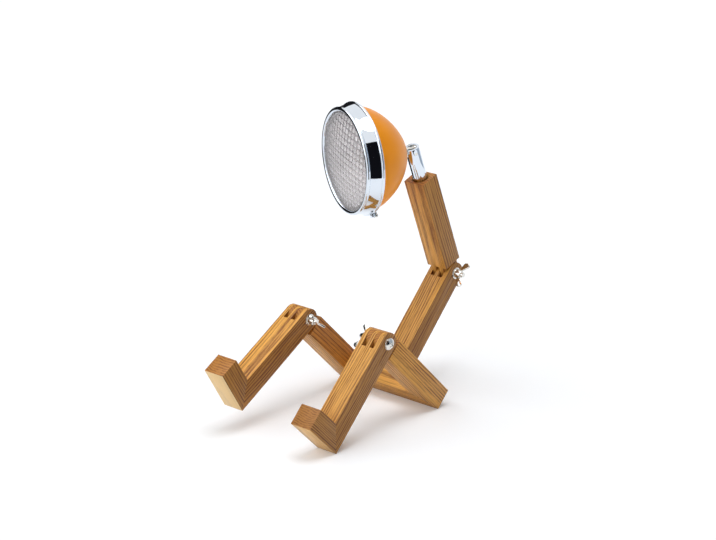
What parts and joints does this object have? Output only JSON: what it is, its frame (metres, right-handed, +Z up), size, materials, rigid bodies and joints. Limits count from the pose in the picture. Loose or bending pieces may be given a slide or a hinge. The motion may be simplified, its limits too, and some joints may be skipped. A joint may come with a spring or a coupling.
{
  "type": "desk lamp",
  "caption": "Seated wooden figure desk lamp with a round headlamp head on a swivel neck, finger joints at knees, hip and waist, and wing nuts that clamp them.",
  "frame": {"origin": "middle of the seat edge, the lower back edge of the pelvis that rests on the table", "axes": "+Z up, the figure faces -Y, its left side is +X"},
  "size_m": [0.148, 0.2949, 0.3039],
  "materials": {
    "oiled_wood": "oiled, straight dark grain",
    "zinc_steel": "zinc plated",
    "chrome_trim": "polished",
    "orange_paint": "satin enamel",
    "clear_glass": "pressed prism pattern",
    "black_rubber": "matt",
    "bright_aluminium": "bright",
    "white_socket": "matt",
    "frosted_lamp": "frosted",
    "lead_insulation": "matt"
  },
  "bodies": {
    "pelvis": {"thigh_left": "oiled_wood", "thigh_right": "oiled_wood", "hip_rail": "oiled_wood", "pelvis_dowels": "oiled_wood", "hip_block": "oiled_wood", "hip_bolt": "zinc_steel", "hip_washers": "zinc_steel", "hip_lock_nut": "zinc_steel"},
    "leg_left": {"shin_left": "oiled_wood", "foot_left": "oiled_wood", "foot_dowels_left": "oiled_wood", "knee_bolt_left": "zinc_steel", "knee_washers_left": "zinc_steel"},
    "leg_right": {"shin_right": "oiled_wood", "foot_right": "oiled_wood", "foot_dowels_right": "oiled_wood", "knee_bolt_right": "zinc_steel", "knee_washers_right": "zinc_steel"},
    "knee_wing_left": {"knee_wing_nut_left": "zinc_steel"},
    "knee_wing_right": {"knee_wing_nut_right": "zinc_steel"},
    "abdomen": {"lower_torso": "oiled_wood", "waist_bolt": "zinc_steel", "waist_washers": "zinc_steel"},
    "waist_wing": {"waist_wing_nut": "zinc_steel"},
    "chest": {"upper_torso": "oiled_wood", "neck_grub_screw": "zinc_steel"},
    "neck": {"neck_tube": "chrome_trim", "tilt_pin": "zinc_steel", "tilt_washers": "zinc_steel"},
    "head": {"head_shell": "orange_paint", "rim_ring": "chrome_trim", "rim_clip": "zinc_steel", "rim_clip_screw": "zinc_steel", "lens": "clear_glass", "lens_gasket": "black_rubber", "reflector": "bright_aluminium", "lamp_socket": "white_socket", "lamp_capsule": "frosted_lamp", "stud_washer": "zinc_steel", "stud_nut": "zinc_steel", "cord_grommet": "black_rubber", "supply_leads": "lead_insulation", "head_tongue": "zinc_steel"}
  },
  "joints": [
    {"name": "hip", "type": "hinge", "parent": "pelvis", "child": "abdomen", "pos_m": [0, 0.01417, 0.0316], "axis": [1, 0, 0], "range_deg": [-70, 60]},
    {"name": "waist", "type": "hinge", "parent": "abdomen", "child": "chest", "pos_m": [0, 0.08933, 0.10916], "axis": [1, 0, 0], "range_deg": [-115, 27]},
    {"name": "neck_swivel", "type": "hinge", "parent": "chest", "child": "neck", "pos_m": [0, 0.03695, 0.24705], "axis": [0, -0.3551, 0.9348], "range_deg": [-120, 150]},
    {"name": "head_tilt", "type": "hinge", "parent": "neck", "child": "head", "pos_m": [0, 0.03695, 0.24705], "axis": [-0.9164, 0.3743, 0.1422], "range_deg": [-18, 38]},
    {"name": "knee_left", "type": "hinge", "parent": "pelvis", "child": "leg_left", "pos_m": [0.0525, -0.07377, 0.09019], "axis": [1, 0, 0], "range_deg": [-90, 4]},
    {"name": "knee_right", "type": "hinge", "parent": "pelvis", "child": "leg_right", "pos_m": [-0.0525, -0.07377, 0.09019], "axis": [1, 0, 0], "range_deg": [-75, 18]},
    {"name": "waist_wing_turn", "type": "hinge", "parent": "abdomen", "child": "waist_wing", "pos_m": [0.02, 0.08933, 0.10916], "axis": [1, 0, 0], "range_deg": [-180, 180]},
    {"name": "knee_wing_left_turn", "type": "hinge", "parent": "leg_left", "child": "knee_wing_left", "pos_m": [0.035, -0.07377, 0.09019], "axis": [1, 0, 0], "range_deg": [-180, 180]},
    {"name": "knee_wing_right_turn", "type": "hinge", "parent": "leg_right", "child": "knee_wing_right", "pos_m": [-0.035, -0.07377, 0.09019], "axis": [1, 0, 0], "range_deg": [-180, 180]}
  ]
}
